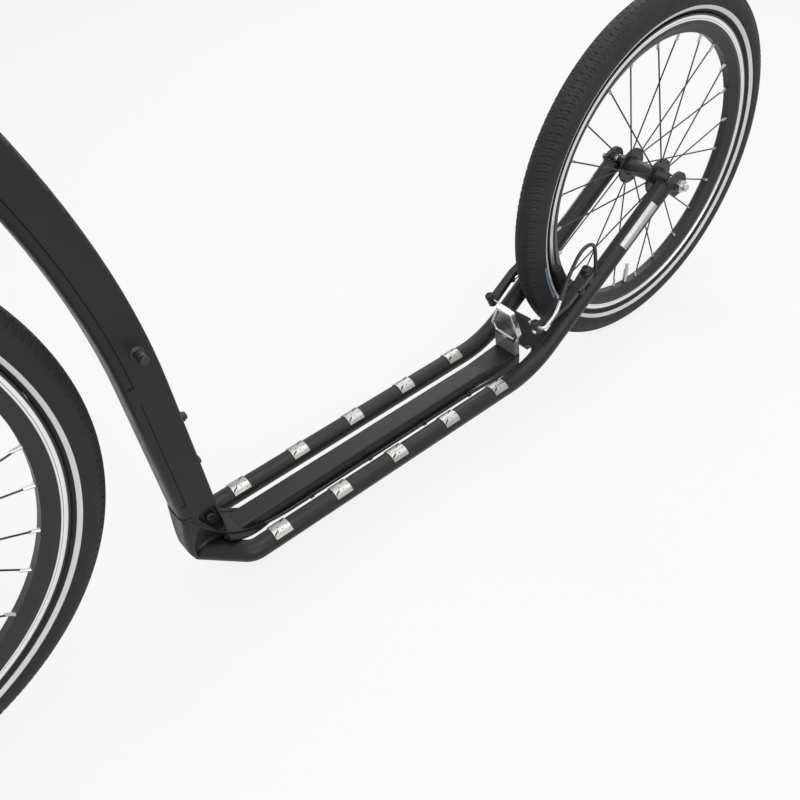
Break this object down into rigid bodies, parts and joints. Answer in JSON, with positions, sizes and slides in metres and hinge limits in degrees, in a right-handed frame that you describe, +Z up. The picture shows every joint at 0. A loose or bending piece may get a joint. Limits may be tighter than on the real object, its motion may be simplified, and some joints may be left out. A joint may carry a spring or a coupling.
{
  "type": "footbike",
  "caption": "Adult kick scooter with a low twin-tube deck, a large steered front wheel, a smaller rear wheel and rim brakes; it is ridden standing and pushed by foot.",
  "frame": {"origin": "middle of the deck, level with the tops of the deck tubes, where the rider stands", "axes": "+X forward, +Y to the rider's left, +Z up; the ground is 80 mm below the origin"},
  "size_m": [1.6949, 0.6272, 1.0149],
  "materials": {
    "frame_paint": "matte",
    "black_metal": "satin anodised",
    "steel": "brushed",
    "polished": "polished",
    "tyre": "matte",
    "rim": "satin",
    "spoke": "black",
    "rubber": "matte",
    "housing": "satin",
    "black_plastic": "matte"
  },
  "bodies": {
    "frame": {"beam_end_cap": "polished", "bridge_plate": "frame_paint", "cable_port": "black_plastic", "centre_beam": "frame_paint", "deck_tube_left": "frame_paint", "deck_tube_right": "frame_paint", "foot_joint": "frame_paint", "head_tube": "frame_paint", "lower_headset_cup": "black_metal", "main_tube": "frame_paint", "rear_axle": "steel", "rear_brake_arm_left": "black_metal", "rear_brake_arm_right": "black_metal", "rear_brake_boot": "rubber", "rear_brake_bosses": "steel", "rear_brake_housing": "housing", "rear_brake_pipe": "steel", "rear_brake_shoes": "rubber", "rear_brake_wire": "steel", "rear_dropout_left": "frame_paint", "rear_dropout_right": "frame_paint", "tread_pads_left": "steel", "tread_pads_right": "steel", "upper_headset_cup": "black_metal"},
    "steering": {"brake_lever_left": "black_metal", "brake_lever_right": "black_metal", "fork_blade_left": "frame_paint", "fork_blade_right": "frame_paint", "fork_crown": "frame_paint", "fork_dropout_left": "frame_paint", "fork_dropout_right": "frame_paint", "front_axle": "steel", "front_brake_arm_left": "black_metal", "front_brake_arm_right": "black_metal", "front_brake_boot": "rubber", "front_brake_bosses": "steel", "front_brake_housing": "housing", "front_brake_pipe": "steel", "front_brake_shoes": "rubber", "front_brake_wire": "steel", "grip_left": "rubber", "grip_right": "rubber", "handlebar": "black_metal", "headset_spacers": "black_metal", "rear_brake_lead": "housing", "steerer": "black_metal", "stem": "black_metal", "stem_top_cap": "black_metal"},
    "rear_wheel": {"rear_hub": "black_metal", "rear_rim": "rim", "rear_spokes": "spoke", "rear_tyre": "tyre", "rear_valve": "steel"},
    "front_wheel": {"front_hub": "black_metal", "front_rim": "rim", "front_spokes": "spoke", "front_tyre": "tyre", "front_valve": "steel"}
  },
  "joints": [
    {"name": "steering", "type": "hinge", "parent": "frame", "child": "steering", "pos_m": [0.58588, 0, 0.22585], "axis": [-0.3256, 0, 0.9455], "range_deg": [-80, 80], "deforming": ["rear_brake_lead"]},
    {"name": "front_wheel_spin", "type": "hinge", "parent": "steering", "child": "front_wheel", "pos_m": [0.62843, 0, 0.2405], "axis": [0, 1, 0], "continuous": true},
    {"name": "rear_wheel_spin", "type": "hinge", "parent": "frame", "child": "rear_wheel", "pos_m": [-0.49897, 0, 0.167], "axis": [0, 1, 0], "continuous": true}
  ]
}
